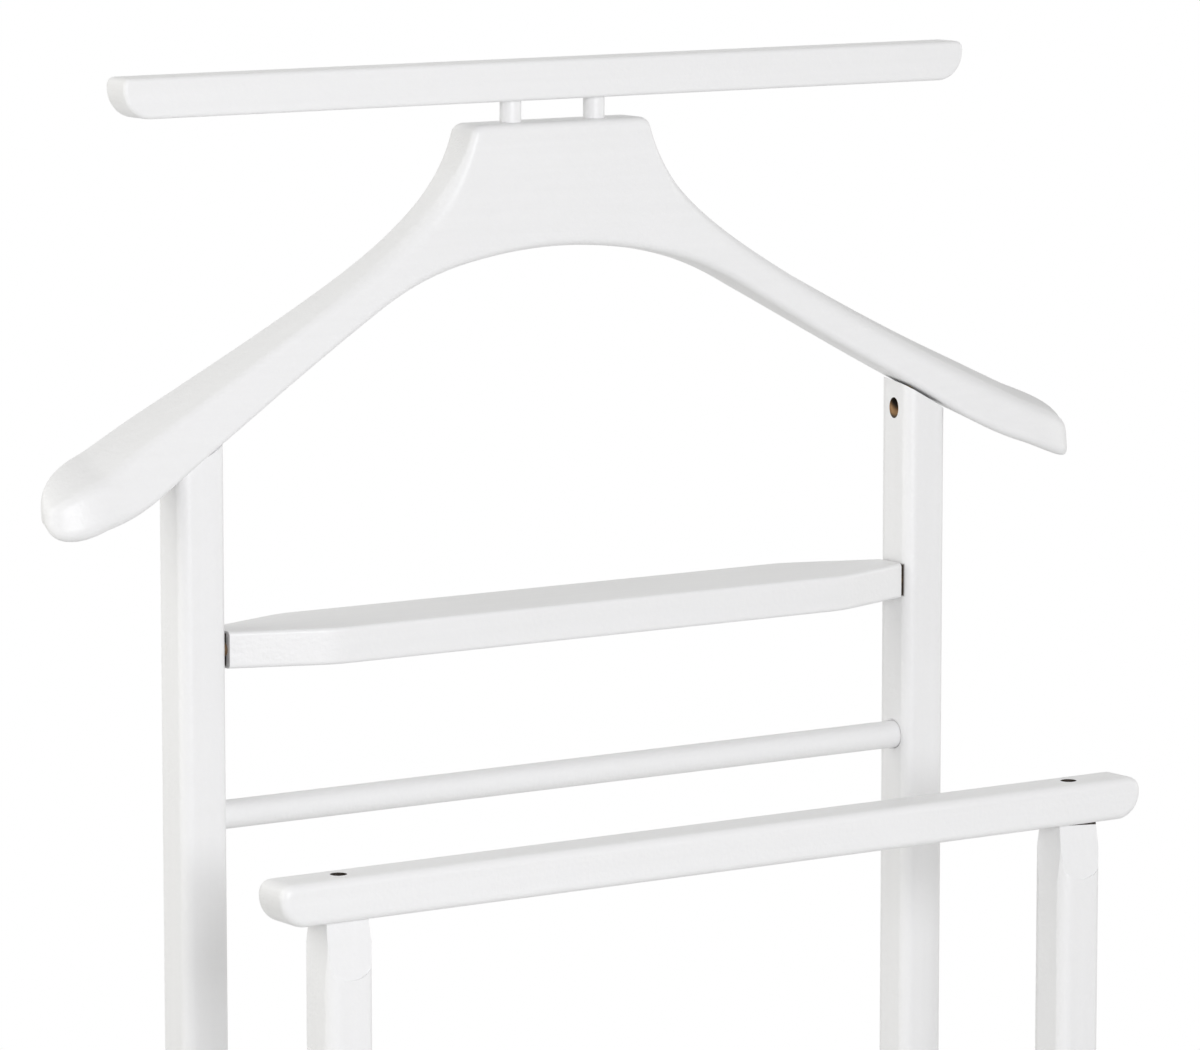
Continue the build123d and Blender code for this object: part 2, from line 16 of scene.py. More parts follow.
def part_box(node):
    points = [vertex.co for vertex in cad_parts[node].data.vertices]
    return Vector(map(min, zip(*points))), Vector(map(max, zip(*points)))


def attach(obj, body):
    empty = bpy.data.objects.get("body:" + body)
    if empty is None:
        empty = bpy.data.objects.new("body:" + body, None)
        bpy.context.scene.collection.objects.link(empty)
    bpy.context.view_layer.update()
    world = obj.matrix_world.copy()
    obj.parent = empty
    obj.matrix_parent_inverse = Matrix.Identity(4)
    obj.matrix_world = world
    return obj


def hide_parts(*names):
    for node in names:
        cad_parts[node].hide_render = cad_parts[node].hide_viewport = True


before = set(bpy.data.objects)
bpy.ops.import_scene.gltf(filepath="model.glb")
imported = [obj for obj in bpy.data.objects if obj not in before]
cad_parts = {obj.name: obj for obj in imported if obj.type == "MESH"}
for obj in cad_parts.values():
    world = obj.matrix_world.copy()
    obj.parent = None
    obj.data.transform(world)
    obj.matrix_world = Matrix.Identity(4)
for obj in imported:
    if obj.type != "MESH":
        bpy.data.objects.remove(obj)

MM = 0.001
scene = bpy.context.scene
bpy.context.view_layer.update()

# %% [markdown]
# ## The camera
# The photograph is taken with a long lens from the front left, a little above the hanger, and shows only
# the upper part of the stand. A long lens keeps the posts nearly parallel. The camera is placed by the
# point it aims at, its distance, and two angles, because those four say how a picture is framed.

# %% Camera
AIM = Vector((0.0152, 0.049, 0.9059))
CAMERA_DISTANCE = 2.3705
CAMERA_YAW = math.radians(34.176)
CAMERA_DIP = math.radians(8.031)
LENS = 190.77
SENSOR = 36.0


def direction(yaw, dip):
    """The way one looks after turning right by yaw from straight ahead (+Y) and then down by dip."""
    return Vector((math.sin(yaw) * math.cos(dip), math.cos(yaw) * math.cos(dip), -math.sin(dip)))


def link(thing):
    """Put a new object into the scene."""
    scene.collection.objects.link(thing)
    return thing


sight = direction(CAMERA_YAW, CAMERA_DIP)
camera = link(bpy.data.objects.new("camera", bpy.data.cameras.new("camera")))
camera.data.sensor_fit = "HORIZONTAL"
camera.data.sensor_width = SENSOR
camera.data.lens = LENS
camera.location = AIM - sight * CAMERA_DISTANCE
camera.rotation_euler = sight.to_track_quat("-Z", "Y").to_euler()
scene.camera = camera
print("camera at", [round(c, 3) for c in camera.location])

# %% [markdown]
# ## The studio
# White paint is only seen by its shade, so the light has to say which way each face looks. In the
# photograph the front faces are brightest, the left faces a little less, and the tops greyest: the light
# comes from large screens in front and to the left, hardly higher than the stand, with a weak one on the
# right, and less of it from the room above. Three round area lights and a pale world do the same. The world
# is plain white only to the camera and to reflections.

# %% Nodes with few words
def fill(tree, socket, value):
    """Give a socket a value, or a link if the value is another node's output."""
    if isinstance(value, bpy.types.NodeSocket):
        tree.links.new(value, socket)
    else:
        socket.default_value = value


def node(tree, kind, values=None, **settings):
    """Add a shader node: settings are its options, and values fill its sockets by name or number."""
    made = tree.nodes.new("ShaderNode" + kind)
    for name, value in settings.items():
        setattr(made, name, value)
    for name, value in (values or {}).items():
        fill(tree, made.inputs[name], value)
    return made


def math_node(tree, operation, *values):
    """One step of arithmetic on numbers, such as a product or the larger of two."""
    return node(tree, "Math", dict(enumerate(values)), operation=operation).outputs[0]


def vector_node(tree, operation, *values):
    """One step of arithmetic on vectors: lengths and dot products give a number, and all others a vector."""
    made = node(tree, "VectorMath", dict(enumerate(values)), operation=operation)
    return made.outputs["Value" if operation in ("LENGTH", "DOT_PRODUCT") else "Vector"]


def noise(tree, place, scale, detail, **more):
    """Soft random clouds over a place, about scale of them to a metre; detail adds finer ones on top."""
    return node(tree, "TexNoise", {"Vector": place, "Scale": scale, "Detail": detail, **more}).outputs[0]


def soft_step(tree, value, low, high):
    """0 below low, 1 above high, and a smooth rise between them."""
    values = {"Value": value, "From Min": low, "From Max": high}
    return node(tree, "MapRange", values, interpolation_type="SMOOTHSTEP").outputs[0]


def seen_directly(tree):
    """1 for rays that come from the camera, a mirror or glass, and 0 for rays that gather light."""
    path = node(tree, "LightPath").outputs
    straight = math_node(tree, "MAXIMUM", path["Is Camera Ray"], path["Is Glossy Ray"])
    return math_node(tree, "MAXIMUM", straight, path["Is Transmission Ray"])


print("helpers ready")

# %% World
ROOM_LIGHT = 0.42
ROOM_COLOUR = (1.0, 0.991, 0.967, 1.0)
PAPER_LIGHT = 1.0
WHITE = (1.0, 1.0, 1.0, 1.0)

world = bpy.data.worlds.new("studio")
world.use_nodes = True
scene.world = world
tree = world.node_tree
tree.nodes.clear()
room = node(tree, "Background", {"Color": ROOM_COLOUR, "Strength": ROOM_LIGHT})
paper = node(tree, "Background", {"Color": WHITE, "Strength": PAPER_LIGHT})
mix = node(tree, "MixShader", {0: seen_directly(tree), 1: room.outputs[0], 2: paper.outputs[0]})
node(tree, "OutputWorld", {"Surface": mix.outputs[0]})
scene.view_settings.view_transform = "Standard"
print("room light", ROOM_LIGHT)

# %% Lights
LIT_POINT = Vector((0.0, 0.0, 1.03))
COOL_TINT = (0.975, 0.977, 1.0)
WARM_TINT = (1.0, 0.995, 0.965)


def screen_light(name, azimuth, height, distance, width, level, tint):
    """A round light that looks at the stand; its angles are in degrees, distance and width in metres.

    Level is the light that it gives a face turned straight to it."""
    look = direction(math.radians(-azimuth), math.radians(height))
    lamp = bpy.data.lights.new(name, "AREA")
    lamp.shape = "DISK"
    lamp.size = width
    lamp.color = tint
    lamp.energy = level * (math.pi * distance) ** 2
    holder = link(bpy.data.objects.new(name, lamp))
    holder.location = LIT_POINT - look * distance
    holder.rotation_euler = look.to_track_quat("-Z", "Y").to_euler()
    holder.visible_camera = False
    print(name, "power", round(lamp.energy, 1))


screen_light(
    "front_screen", azimuth=-14.0, height=8.0, distance=1.6, width=0.9, level=0.61, tint=COOL_TINT
)
screen_light(
    "left_screen", azimuth=-111.0, height=16.0, distance=1.55, width=1.8, level=0.59, tint=WARM_TINT
)
screen_light(
    "right_screen", azimuth=75.0, height=5.0, distance=2.4, width=1.4, level=0.13, tint=WARM_TINT
)

# %% [markdown]
# ## The floor
# The floor is a wide pale disc. Near the stand it is an ordinary matt surface that takes the shadow;
# further out it turns to paper white, so that no edge shows in any view.

# %% Surfaces from arrays
def mesh_piece(name, points, faces):
    """An object from an array of points and one of faces; a last index of -1 makes a face a triangle."""
    mesh = bpy.data.meshes.new(name)
    corners = np.where(faces[:, 3] < 0, 3, 4)
    loops = faces[faces >= 0].astype(np.int32)
    starts = np.concatenate([[0], np.cumsum(corners)[:-1]]).astype(np.int32)
    mesh.vertices.add(len(points))
    mesh.vertices.foreach_set("co", np.ascontiguousarray(points, np.float32).ravel())
    mesh.loops.add(len(loops))
    mesh.loops.foreach_set("vertex_index", loops)
    mesh.polygons.add(len(starts))
    mesh.polygons.foreach_set("loop_start", starts)
    mesh.polygons.foreach_set("use_smooth", np.ones(len(starts), bool))
    mesh.update(calc_edges=True)
    mesh.validate()
    return link(bpy.data.objects.new(name, mesh))


def grid_faces(index, closed):
    """Four-cornered faces between the rows of an index grid; closed joins its last column to the first."""
    if closed:
        index = np.concatenate([index, index[:, :1]], axis=1)
    return np.stack([index[:-1, :-1], index[:-1, 1:], index[1:, 1:], index[1:, :-1]], -1).reshape(-1, 4)


def fan_faces(ring, pole):
    """Triangles between a closed ring of indices and one point."""
    after = np.roll(ring, -1)
    return np.stack([ring, after, np.full_like(ring, pole), np.full_like(ring, -1)], -1)


def volume(points, faces):
    """The signed volume inside a closed surface: positive when its faces point outwards.

    It adds up the pyramids from the origin to each triangle, each a sixth of a slanted box."""
    a, b, c = (points[faces[:, corner]] for corner in range(3))
    d = np.where(faces[:, 3:] < 0, c, points[faces[:, 3]])
    return (np.einsum("ij,ij->", a, np.cross(b, c)) + np.einsum("ij,ij->", a, np.cross(c, d))) / 6


def outward_faces(points, faces):
    """The same faces, turned round if they point into the closed surface."""
    if volume(points, faces) > 0:
        return faces
    return np.where(faces[:, 3:] < 0, faces[:, [1, 0, 2, 3]], faces[:, ::-1])


print("surface helpers ready")

# %% Floor
FLOOR_RADIUS = 2.6
FLOOR_RINGS = 24
FLOOR_SPOKES = 96
FLOOR_COLOUR = (0.80, 0.80, 0.795, 1.0)
FLOOR_ROUGHNESS = 0.8
GRIT_SCALE = 300.0
GRIT_DETAIL = 2.0
GRIT_STRENGTH = 0.05
GRIT_HEIGHT = 0.001
FADE_FROM = 0.45
FADE_TO = 2.3
PAPER_NEAR = 0.45

radius, turn = np.meshgrid(
    np.linspace(FLOOR_RADIUS / FLOOR_RINGS, FLOOR_RADIUS, FLOOR_RINGS),
    np.linspace(0.0, math.tau, FLOOR_SPOKES, endpoint=False),
    indexing="ij",
)
points = np.stack([radius * np.cos(turn), radius * np.sin(turn), np.zeros_like(turn)], -1)
points = points.reshape(-1, 3)
index = np.arange(len(points)).reshape(FLOOR_RINGS, FLOOR_SPOKES)
faces = np.concatenate([grid_faces(index[::-1], True), fan_faces(index[0], len(points))])
floor = mesh_piece("floor", np.concatenate([points, np.zeros((1, 3))]), faces)

paint = bpy.data.materials.new("studio_floor")
paint.use_nodes = True
tree = paint.node_tree
tree.nodes.clear()
place = node(tree, "TexCoord").outputs["Object"]
grit = noise(tree, place, GRIT_SCALE, GRIT_DETAIL)
skin = node(tree, "Bump", {"Strength": GRIT_STRENGTH, "Distance": GRIT_HEIGHT, "Height": grit})
matt = node(
    tree,
    "BsdfPrincipled",
    {"Base Color": FLOOR_COLOUR, "Roughness": FLOOR_ROUGHNESS, "Normal": skin.outputs[0]},
)
white = node(tree, "Emission", {"Color": WHITE, "Strength": PAPER_LIGHT})
fade = node(
    tree,
    "MapRange",
    {
        "Value": vector_node(tree, "LENGTH", place),
        "From Min": FADE_FROM,
        "From Max": FADE_TO,
        "To Min": PAPER_NEAR,
    },
    interpolation_type="SMOOTHSTEP",
)
share = math_node(tree, "MULTIPLY", fade.outputs[0], seen_directly(tree))
mix = node(tree, "MixShader", {0: share, 1: matt.outputs[0], 2: white.outputs[0]})
node(tree, "OutputMaterial", {"Surface": mix.outputs[0]})
floor.data.materials.append(paint)
print("floor radius", FLOOR_RADIUS)

# %% [markdown]
# ## Effects that several finishes share
# Sprayed paint on wood has three textures on top of each other: a fine orange-peel skin from the spray gun,
# the long grain of the wood that shows through as faint ridges, and wide clouds where the film is a little
# thicker. Across the ends of the grain the wood drinks the paint, so it stays rougher there. One node group
# makes these from a place on the piece, and each finish gives it its own grain direction.

# %% Group helper
def new_group(name, inputs, outputs):
    """An empty shader node group with named sockets; returns its tree and the sockets at its two ends."""
    group = bpy.data.node_groups.new(name, "ShaderNodeTree")
    for kind, sockets in (("INPUT", inputs), ("OUTPUT", outputs)):
        for label, form in sockets.items():
            group.interface.new_socket(label, in_out=kind, socket_type="NodeSocket" + form)
    given = group.nodes.new("NodeGroupInput").outputs
    return group, given, group.nodes.new("NodeGroupOutput").inputs


def give(group, made, results):
    """Join what a group has worked out to its outputs."""
    for label, value in results.items():
        group.links.new(value, made[label])
    print(group.name, "gives", list(results))


def use_group(tree, group, values):
    """Add a group to a tree and fill its sockets; returns what it gives."""
    return node(tree, "Group", values, node_tree=group).outputs


print("group helpers ready")

# %% Paint film
CLOUD_SCALE = 9.0
CLOUD_DETAIL = 2.0
PEEL_SCALE = 620.0
PEEL_DETAIL = 1.5
RIDGE_SCALE = 1.0
RIDGE_DETAIL = 3.0
RIDGE_ROUGHNESS = 0.6
SPECK_SCALE = 1500.0
SPECK_DETAIL = 2.0
END_FROM = 0.75
END_FULL = 0.97

paint_film, given, made = new_group(
    "paint_film",
    {"Place": "Vector", "Facing": "Vector", "Along": "Vector", "Grain": "Vector"},
    {"Cloud": "Float", "Ridge": "Float", "End": "Float", "Height": "Float"},
)
cloud = noise(paint_film, given["Place"], CLOUD_SCALE, CLOUD_DETAIL)
peel = noise(paint_film, given["Place"], PEEL_SCALE, PEEL_DETAIL)
fibre = vector_node(paint_film, "MULTIPLY", given["Place"], given["Grain"])
ridge = noise(paint_film, fibre, RIDGE_SCALE, RIDGE_DETAIL, Roughness=RIDGE_ROUGHNESS)
ahead = vector_node(paint_film, "DOT_PRODUCT", given["Facing"], given["Along"])
end = soft_step(paint_film, math_node(paint_film, "ABSOLUTE", ahead), END_FROM, END_FULL)
speck = noise(paint_film, given["Place"], SPECK_SCALE, SPECK_DETAIL)
long_side = math_node(paint_film, "SUBTRACT", 1.0, end)
skin = math_node(paint_film, "MULTIPLY_ADD", ridge, long_side, peel)
height = math_node(paint_film, "MULTIPLY_ADD", speck, end, skin)
give(paint_film, made, {"Cloud": cloud, "Ridge": ridge, "End": end, "Height": height})

# %% [markdown]
# A drilled hole cuts through the paint to bare wood, and where it is deep, painted shade turns it dark. A
# hole is a straight line with a radius, so a second group measures how far each point lies from such a line
# and how far along it from the mouth, and marks what lies inside and what lies deep. The stand is the same
# on the left and the right, so places are first folded over to the positive side.

# %% Drilled holes
# Depths below a hole's mouth over which painted shade darkens the bare wood from lit to near black.
LIT_DEPTH = 0.0002
DARK_DEPTH = 0.0026

drilled, given, made = new_group(
    "drilled_hole",
    {"Place": "Vector", "Mouth": "Vector", "Axis": "Vector", "Radius": "Float"},
    {"Inside": "Float", "Deep": "Float"},
)
folded = vector_node(drilled, "ABSOLUTE", given["Place"])
offset = vector_node(drilled, "SUBTRACT", folded, given["Mouth"])
turned = vector_node(drilled, "CROSS_PRODUCT", offset, given["Axis"])
inside = math_node(drilled, "LESS_THAN", vector_node(drilled, "LENGTH", turned), given["Radius"])
along = vector_node(drilled, "DOT_PRODUCT", offset, given["Axis"])
deep = soft_step(drilled, math_node(drilled, "ABSOLUTE", along), LIT_DEPTH, DARK_DEPTH)
give(drilled, made, {"Inside": inside, "Deep": math_node(drilled, "MULTIPLY", inside, deep)})

# %% [markdown]
# Where the rail sits on the right front post the joint isn't quite tight: a thin gap opens towards the right
# and is dark with shade. It is hardly half a millimetre high, so its shade is painted on the post as a dark
# wedge: a third group marks what lies above a slanting line that falls away from the place where the gap
# begins.

# %% Open joint
JOINT_OPENING = 0.065

open_joint, given, made = new_group(
    "open_joint",
    {"Place": "Vector", "Start": "Vector", "Opening": "Float"},
    {"Inside": "Float"},
)
offset = vector_node(open_joint, "SUBTRACT", given["Place"], given["Start"])
along = node(open_joint, "SeparateXYZ", {0: offset}).outputs
above = math_node(open_joint, "MULTIPLY_ADD", along["X"], given["Opening"], along["Z"])
reached = math_node(open_joint, "GREATER_THAN", along["X"], 0.0)
wedge = math_node(open_joint, "GREATER_THAN", above, 0.0)
give(open_joint, made, {"Inside": math_node(open_joint, "MULTIPLY", reached, wedge)})

# %% [markdown]
# The tray doesn't quite reach the posts, and no light gets into the narrow gap at its ends, so it shows as a
# thin dark line. The wood was put together before it was sprayed, so the faces in the gap are bare. A fourth
# group marks a box on each side of the stand, and inside it the post and the tray's end get painted shade:
# nearly black, with a little of the bare wood's brown.

# %% Shaded gap
GAP_BLUR = 0.0009

gap_shade, given, made = new_group(
    "gap_shade",
    {"Place": "Vector", "Middle": "Vector", "Half": "Vector"},
    {"Inside": "Float"},
)
folded = vector_node(gap_shade, "ABSOLUTE", given["Place"])
offset = vector_node(gap_shade, "SUBTRACT", folded, given["Middle"])
away = vector_node(gap_shade, "ABSOLUTE", offset)
sides = node(gap_shade, "SeparateXYZ", {0: vector_node(gap_shade, "SUBTRACT", given["Half"], away)}).outputs
least = math_node(gap_shade, "MINIMUM", sides["Y"], sides["Z"])
least = math_node(gap_shade, "MINIMUM", sides["X"], least)
give(gap_shade, made, {"Inside": soft_step(gap_shade, least, 0.0, GAP_BLUR)})

# %% [markdown]
# Bare beech has a warm straw colour, darker growth lines that run along the piece, and short brown flecks.
# Both lines and flecks are noise that is drawn out along the grain.

# %% Bare wood grain
LINE_SCALE = 0.6
LINE_DETAIL = 4.0
LINE_BEND = 0.4
PORE_SCALE = 5.0
PORE_DETAIL = 2.0
FLECK_FROM = 0.58
FLECK_FULL = 0.72
FLECK_HEIGHT = -0.6

beech, given, made = new_group(
    "beech_grain",
    {"Place": "Vector", "Grain": "Vector"},
    {"Line": "Float", "Fleck": "Float", "Height": "Float"},
)
fibre = vector_node(beech, "MULTIPLY", given["Place"], given["Grain"])
line = noise(beech, fibre, LINE_SCALE, LINE_DETAIL, Distortion=LINE_BEND)
pore = noise(beech, fibre, PORE_SCALE, PORE_DETAIL)
fleck = soft_step(beech, pore, FLECK_FROM, FLECK_FULL)
height = math_node(beech, "MULTIPLY_ADD", fleck, FLECK_HEIGHT, line)
give(beech, made, {"Line": line, "Fleck": fleck, "Height": height})

# %% [markdown]
# ## White paint
# The stand is sprayed satin white: a cool, bright film with soft highlights. The film's clouds move the
# colour and the gloss by a few hundredths, and its skin goes into the bump. Inside drilled holes the same
# material turns to bare wood that painted shade darkens where it is deep, and painted shade darkens open
# joints and narrow gaps. Pieces differ in the way their grain runs and in the holes they have, so a function
# makes one finish for each kind.

# %% Colours
PAINT_THICK = (0.862, 0.863, 0.870, 1.0)
PAINT_THIN = (0.755, 0.755, 0.757, 1.0)
BEECH_PALE = (0.50, 0.31, 0.15, 1.0)
BEECH_DARK = (0.23, 0.115, 0.045, 1.0)
# Painted shade: the near black laid deep in holes, in the open joint and over the beech pins.
HOLE_SHADE = (0.022, 0.015, 0.010, 1.0)
# Painted shade in the tray's end gaps: near black with a little of the bare wood's brown.
GAP_SHADE = (0.055, 0.040, 0.030, 1.0)
GRAIN_FINE = 260.0
GRAIN_LONG = 7.0
AXES = {"x": (1.0, 0.0, 0.0), "y": (0.0, 1.0, 0.0), "z": (0.0, 0.0, 1.0)}


def grain_scale(axis):
    """How fast the grain changes along X, Y and Z: slowly along its own axis and fast across it."""
    return tuple(GRAIN_LONG if part else GRAIN_FINE for part in AXES[axis])


def new_material(name):
    """A material with an empty tree and its shader joined to the output."""
    made = bpy.data.materials.new(name)
    made.use_nodes = True
    tree = made.node_tree
    tree.nodes.clear()
    shader = node(tree, "BsdfPrincipled")
    node(tree, "OutputMaterial", {"Surface": shader.outputs[0]})
    return made, tree, shader.inputs


def colour_mix(tree, share, first, second):
    """The first colour where share is 0 and the second where it is 1; 6, 7 and 2 are the colour sockets."""
    return node(tree, "Mix", {0: share, 6: first, 7: second}, data_type="RGBA").outputs[2]


def raise_skin(tree, shader, height, strength, depth):
    """Let a height from 0 to 1 raise the skin by depth metres, as far as light can tell."""
    bump = node(tree, "Bump", {"Strength": strength, "Distance": depth, "Height": height})
    tree.links.new(bump.outputs[0], shader["Normal"])


def beech_colour(tree, place, axis):
    """The colour of bare beech whose grain runs along one axis, and the height of its grain."""
    grain = use_group(tree, beech, {"Place": place, "Grain": grain_scale(axis)})
    lined = colour_mix(tree, grain["Line"], BEECH_PALE, BEECH_DARK)
    return colour_mix(tree, grain["Fleck"], lined, BEECH_DARK), grain["Height"]


print("grain along x", grain_scale("x"))

# %% Painted finish
END_THIN = 0.45
RIDGE_THIN = 0.35
CLOUD_THIN = 0.25
PAINT_ROUGHNESS = 0.30
CLOUD_ROUGHNESS = 0.16
END_ROUGHNESS = 0.15
HOLE_ROUGHNESS = 0.35
PAINT_BUMP = 0.45
PAINT_DEPTH = 0.0003


def painted(name, axis, holes=(), joint=None, gap=None):
    """Satin white on wood with its grain along one axis; each hole is (mouth, axis, radius) in metres.

    Joint is the place where an open joint starts, and gap the middle and half size of a shaded box."""
    made, tree, shader = new_material(name)
    texture = node(tree, "TexCoord").outputs
    place = texture["Object"]
    film = use_group(
        tree,
        paint_film,
        {"Place": place, "Facing": texture["Normal"], "Along": AXES[axis], "Grain": grain_scale(axis)},
    )
    thin = math_node(tree, "MULTIPLY", film["Ridge"], RIDGE_THIN)
    thin = math_node(tree, "MULTIPLY_ADD", film["End"], END_THIN, thin)
    thin = math_node(tree, "MULTIPLY_ADD", film["Cloud"], CLOUD_THIN, thin)
    colour = colour_mix(tree, thin, PAINT_THICK, PAINT_THIN)
    rough = math_node(tree, "MULTIPLY_ADD", film["Cloud"], CLOUD_ROUGHNESS, PAINT_ROUGHNESS)
    rough = math_node(tree, "MULTIPLY_ADD", film["End"], END_ROUGHNESS, rough)
    height = film["Height"]
    if holes:
        bare, grain_height = beech_colour(tree, place, axis)
        inside = 0.0
        deep = 0.0
        for mouth, along, radius in holes:
            values = {"Place": place, "Mouth": mouth, "Axis": along, "Radius": radius}
            hole = use_group(tree, drilled, values)
            inside = math_node(tree, "MAXIMUM", inside, hole["Inside"])
            deep = math_node(tree, "MAXIMUM", deep, hole["Deep"])
        # Painted shade: the bare wood in a hole turns near black where it is deep.
        colour = colour_mix(tree, inside, colour, colour_mix(tree, deep, bare, HOLE_SHADE))
        rough = math_node(tree, "MULTIPLY_ADD", inside, HOLE_ROUGHNESS, rough)
        height = math_node(tree, "MULTIPLY_ADD", inside, grain_height, height)
    if joint:
        opened = use_group(tree, open_joint, {"Place": place, "Start": joint, "Opening": JOINT_OPENING})
        # Painted shade of the open joint: a near-black wedge on the post.
        colour = colour_mix(tree, opened["Inside"], colour, HOLE_SHADE)
    if gap:
        shaded = use_group(tree, gap_shade, {"Place": place, "Middle": gap[0], "Half": gap[1]})
        # Painted shade in the tray's end gap: the post and the tray's end turn nearly black inside the box.
        colour = colour_mix(tree, shaded["Inside"], colour, GAP_SHADE)
    tree.links.new(colour, shader["Base Color"])
    tree.links.new(rough, shader["Roughness"])
    raise_skin(tree, shader, height, PAINT_BUMP, PAINT_DEPTH)
    return made


print("painted finish ready")

# %% [markdown]
# Holes, joint and gaps lie where the drawing has them, in metres. Only the angled pocket shows lit bare wood
# at its mouth, with painted shade deeper in. The other bores are painted dark all the way, as shade: their
# depth is counted from a place well away from their ends.

# %% Holes and gaps
POST_X = 0.161
POST_Y = 0.049
POCKET_ANGLE = math.radians(44.0)
POCKET_MOUTH = (0.1516, POST_Y, 0.94060)
POCKET_AXIS = (math.cos(POCKET_ANGLE), 0.0, math.sin(POCKET_ANGLE))
SHOE_ROD_REAR_Z = 0.135
SHOE_ROD_FRONT_Z = 0.095
POCKET_RADIUS = 0.0029
SCREW_BORE_RADIUS = 0.0039
RAIL_BORE_RADIUS = 0.0030
JOINT_START = (0.1535, 0.0, 0.7934)
TRAY_END_X = 0.1520
TRAY_MIDDLE_Z = 0.87445
POST_GAP_HALF = (0.0022, 0.0072, 0.0066)
TRAY_GAP_HALF = (0.0028, 0.0054, 0.0064)

pocket_hole = (POCKET_MOUTH, POCKET_AXIS, POCKET_RADIUS)
rear_rod_hole = ((POST_X, POST_Y, SHOE_ROD_REAR_Z), AXES["x"], SCREW_BORE_RADIUS)
front_rod_hole = ((POST_X, POST_Y, SHOE_ROD_FRONT_Z), AXES["x"], SCREW_BORE_RADIUS)
foot_hole = ((POST_X, POST_Y, 0.0), AXES["z"], SCREW_BORE_RADIUS)
rail_hole = ((POST_X, POST_Y, 0.0), AXES["z"], RAIL_BORE_RADIUS)
post_gap = ((TRAY_END_X, POST_Y, TRAY_MIDDLE_Z), POST_GAP_HALF)
tray_gap = ((TRAY_END_X, POST_Y, TRAY_MIDDLE_Z), TRAY_GAP_HALF)
finishes = {
    "paint_crosswise": painted("paint_crosswise", "x"),
    "paint_dowel": painted("paint_dowel", "z"),
    "paint_tray": painted("paint_tray", "x", gap=tray_gap),
    "paint_rear_post": painted("paint_rear_post", "z", [pocket_hole, rear_rod_hole], gap=post_gap),
    "paint_front_post": painted("paint_front_post", "z", [front_rod_hole], joint=JOINT_START),
    "paint_rail": painted("paint_rail", "x", [rail_hole]),
    "paint_foot": painted("paint_foot", "y", [foot_hole]),
}
print("painted finishes", len(finishes))

# %% [markdown]
# ## Bare pins, zinc screws and nylon glides
# The tray hangs on plain beech pins that show in the narrow gap at each end. The screws are steel with a
# yellow zinc coat, which is uneven: it goes from gold to dull in clouds, as where a driver has rubbed. The
# glides under the feet are moulded nylon with a fine sparked skin and some scuffs from the floor.

# %% Other finishes
PIN_ROUGHNESS = 0.55
PIN_SHADE = 0.7
PIN_BUMP = 0.4
PIN_DEPTH = 0.0002
WEAR_DETAIL = 4.0
WEAR_FROM = 0.42
WEAR_FULL = 0.68
WEAR_ROUGHNESS = 0.25
WORN_GRIT_DETAIL = 2.0
WORN_BUMP = 0.3
WORN_DEPTH = 0.0001
ZINC_GOLD = (0.74, 0.56, 0.26, 1.0)
ZINC_DULL = (0.46, 0.40, 0.30, 1.0)
NYLON = (0.60, 0.59, 0.55, 1.0)
NYLON_SCUFF = (0.42, 0.41, 0.38, 1.0)


def bare_beech(name, axis):
    """Beech without paint, shaded because it only shows inside narrow gaps."""
    made, tree, shader = new_material(name)
    colour, height = beech_colour(tree, node(tree, "TexCoord").outputs["Object"], axis)
    # Painted shade: the pin's grain colour is taken most of the way to near black, as shade in a narrow gap.
    tree.links.new(colour_mix(tree, PIN_SHADE, colour, HOLE_SHADE), shader["Base Color"])
    shader["Roughness"].default_value = PIN_ROUGHNESS
    raise_skin(tree, shader, height, PIN_BUMP, PIN_DEPTH)
    return made


def worn_finish(name, fresh, worn, metallic, rough, clouds, grit):
    """A finish that goes from fresh to worn in clouds, rougher where it is worn, with a gritty skin.

    Clouds and grit say how many of each there are to a metre."""
    made, tree, shader = new_material(name)
    place = node(tree, "TexCoord").outputs["Object"]
    wear = soft_step(tree, noise(tree, place, clouds, WEAR_DETAIL), WEAR_FROM, WEAR_FULL)
    shader["Metallic"].default_value = metallic
    tree.links.new(colour_mix(tree, wear, fresh, worn), shader["Base Color"])
    tree.links.new(math_node(tree, "MULTIPLY_ADD", wear, WEAR_ROUGHNESS, rough), shader["Roughness"])
    raise_skin(tree, shader, noise(tree, place, grit, WORN_GRIT_DETAIL), WORN_BUMP, WORN_DEPTH)
    return made


finishes["beech_pin"] = bare_beech("beech_pin", "x")
finishes["yellow_zinc"] = worn_finish(
    "yellow_zinc", ZINC_GOLD, ZINC_DULL, metallic=1.0, rough=0.26, clouds=420.0, grit=2600.0
)
finishes["nylon"] = worn_finish(
    "nylon", NYLON, NYLON_SCUFF, metallic=0.0, rough=0.38, clouds=160.0, grit=1900.0
)
print("finishes", sorted(finishes))

# %% [markdown]
# Each node of the frame keeps its mesh and only changes what it is finished with.

# %% Dress the frame
WEARS = {
    "paint_crosswise": ["tie_bar", "trouser_rod", "shoe_rod_front", "shoe_rod_rear", "hanger"],
    "paint_tray": ["tray"],
    "paint_dowel": ["tie_bar_dowel_left", "tie_bar_dowel_right"],
    "paint_rear_post": ["rear_post_left", "rear_post_right"],
    "paint_front_post": ["front_post_left", "front_post_right"],
    "paint_rail": ["front_rail"],
    "paint_foot": ["foot_left", "foot_right"],
    "beech_pin": ["tray_pins_left", "tray_pins_right"],
    "yellow_zinc": ["hanger_screws", "front_rail_screws", "shoe_rod_screws", "foot_screws"],
    "nylon": ["glide_front_left", "glide_front_right", "glide_rear_left", "glide_rear_right"],
}
for finish, names in WEARS.items():
    for name in names:
        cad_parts[name].material_slots[0].material = finishes[finish]
print("dressed", sum(len(names) for names in WEARS.values()), "nodes")

